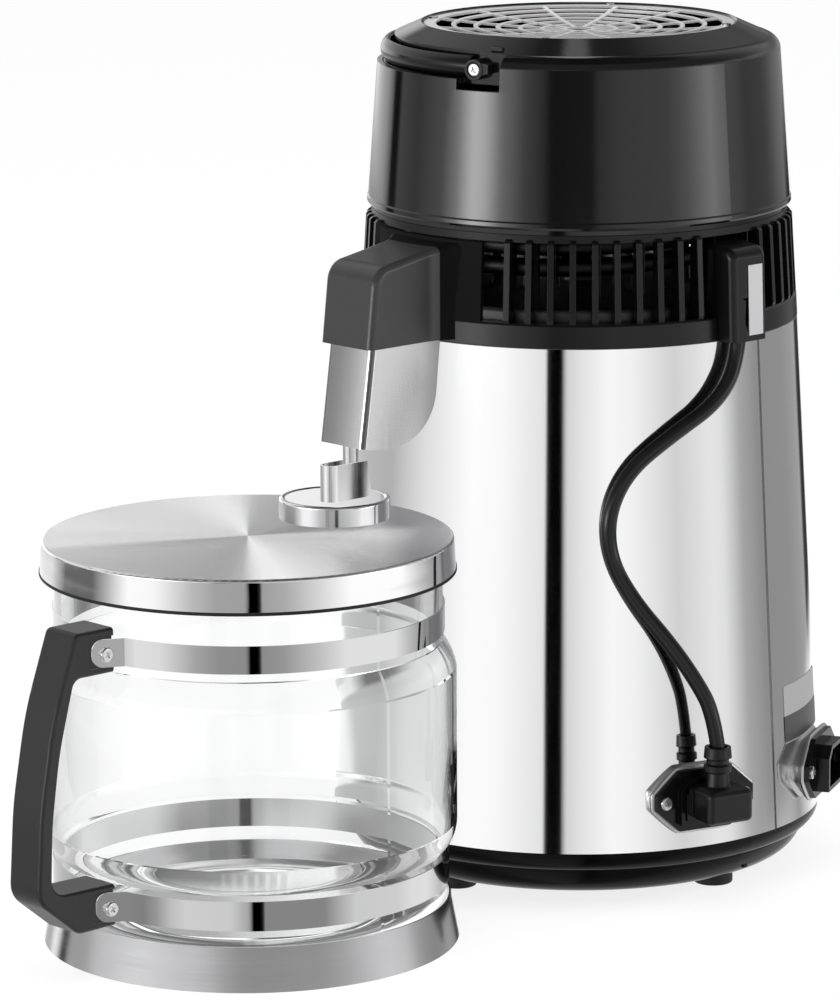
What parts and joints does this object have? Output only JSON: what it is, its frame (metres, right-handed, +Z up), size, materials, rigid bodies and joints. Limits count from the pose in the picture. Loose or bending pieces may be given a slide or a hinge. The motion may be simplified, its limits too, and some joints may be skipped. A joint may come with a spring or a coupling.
{
  "type": "water distiller",
  "caption": "Counter-top water distiller: tapered steel boiler, fan-cooled condenser head with spout, and a glass carafe with handle and drip lid.",
  "frame": {"origin": "on the counter, under the middle of the footprint of boiler and carafe", "axes": "+Z up; -Y from the boiler's axis towards the spout, the carafe and the carafe's handle; +X towards the side with the fan's lead"},
  "size_m": [0.2441, 0.436, 0.383],
  "materials": {
    "polished_steel": "mirror polished",
    "brushed_steel": "satin",
    "black_gloss": "gloss",
    "black_satin": "satin",
    "dark_grey": "satin",
    "black_rubber": "matte",
    "clear_glass": "clear",
    "cast_aluminium": "cast",
    "motor_paint": "satin",
    "pin_brass": "plated",
    "button_plastic": "gloss"
  },
  "bodies": {
    "base": {"rubber_feet": "black_rubber", "base_screws": "brushed_steel", "base_ring": "black_satin", "bottom_cover": "black_satin", "outer_shell": "polished_steel", "boiler_pot": "brushed_steel", "heater_plate": "cast_aluminium", "thermal_cutout": "black_satin", "tie_bolt": "brushed_steel", "fan_socket_seat": "brushed_steel", "fan_socket": "black_satin", "fan_socket_screws": "brushed_steel", "inlet_seat": "brushed_steel", "power_inlet": "black_satin", "inlet_pins": "pin_brass", "inlet_screws": "brushed_steel", "button_bezel": "black_satin", "fan_cord": "black_rubber", "fan_plug": "black_satin"},
    "button": {"start_button": "button_plastic"},
    "head": {"lid_seal": "black_rubber", "tank_lid": "brushed_steel", "vent_band": "black_satin", "condenser_coil": "brushed_steel", "condenser_fins": "cast_aluminium", "fan_shroud": "black_gloss", "shoulder_cap": "black_gloss", "fan_guard": "polished_steel", "guard_screws": "brushed_steel", "fan_motor": "motor_paint", "motor_bracket": "brushed_steel", "pivot_screws": "polished_steel", "spout_housing": "dark_grey", "nozzle_cup": "brushed_steel", "outlet_pipe": "brushed_steel", "cable_cover": "black_satin"},
    "fan": {"fan_rotor": "black_satin"},
    "handle": {"carry_handle": "black_gloss"},
    "carafe": {"carafe_glass": "clear_glass", "carafe_base": "brushed_steel", "upper_strap": "polished_steel", "lower_strap": "polished_steel", "carafe_handle": "dark_grey", "handle_screws": "polished_steel"},
    "carafe_lid_set": {"carafe_lid": "polished_steel", "lid_gasket": "black_rubber", "drip_cup": "polished_steel", "drip_guide": "polished_steel"}
  },
  "joints": [
    {"name": "head_lift", "type": "slide", "parent": "base", "child": "head", "axis": [0, 0, 1], "range_m": [0, 0.035], "deforming": ["fan_cord"]},
    {"name": "fan_spin", "type": "hinge", "parent": "head", "child": "fan", "pos_m": [-0.00303, 0.10763, 0.36], "axis": [0, 0, 1], "continuous": true},
    {"name": "handle_swing", "type": "hinge", "parent": "head", "child": "handle", "pos_m": [-0.00303, 0.10763, 0.37], "axis": [-0.2487, 0.9686, 0], "range_deg": [0, 95]},
    {"name": "button_press", "type": "slide", "parent": "base", "child": "button", "axis": [0.9272, -0.3746, 0], "range_m": [0, 0.003], "stiffness_N_per_m": 300},
    {"name": "carafe_slide", "type": "slide", "parent": "base", "child": "carafe", "axis": [0, -1, 0], "range_m": [0, 0.2]},
    {"name": "lid_lift", "type": "slide", "parent": "carafe", "child": "carafe_lid_set", "axis": [0, 0, 1], "range_m": [0, 0.024]}
  ],
  "couplings": [
    {"joint": "lid_lift", "follows": "carafe_slide", "ratio": 0.12}
  ]
}
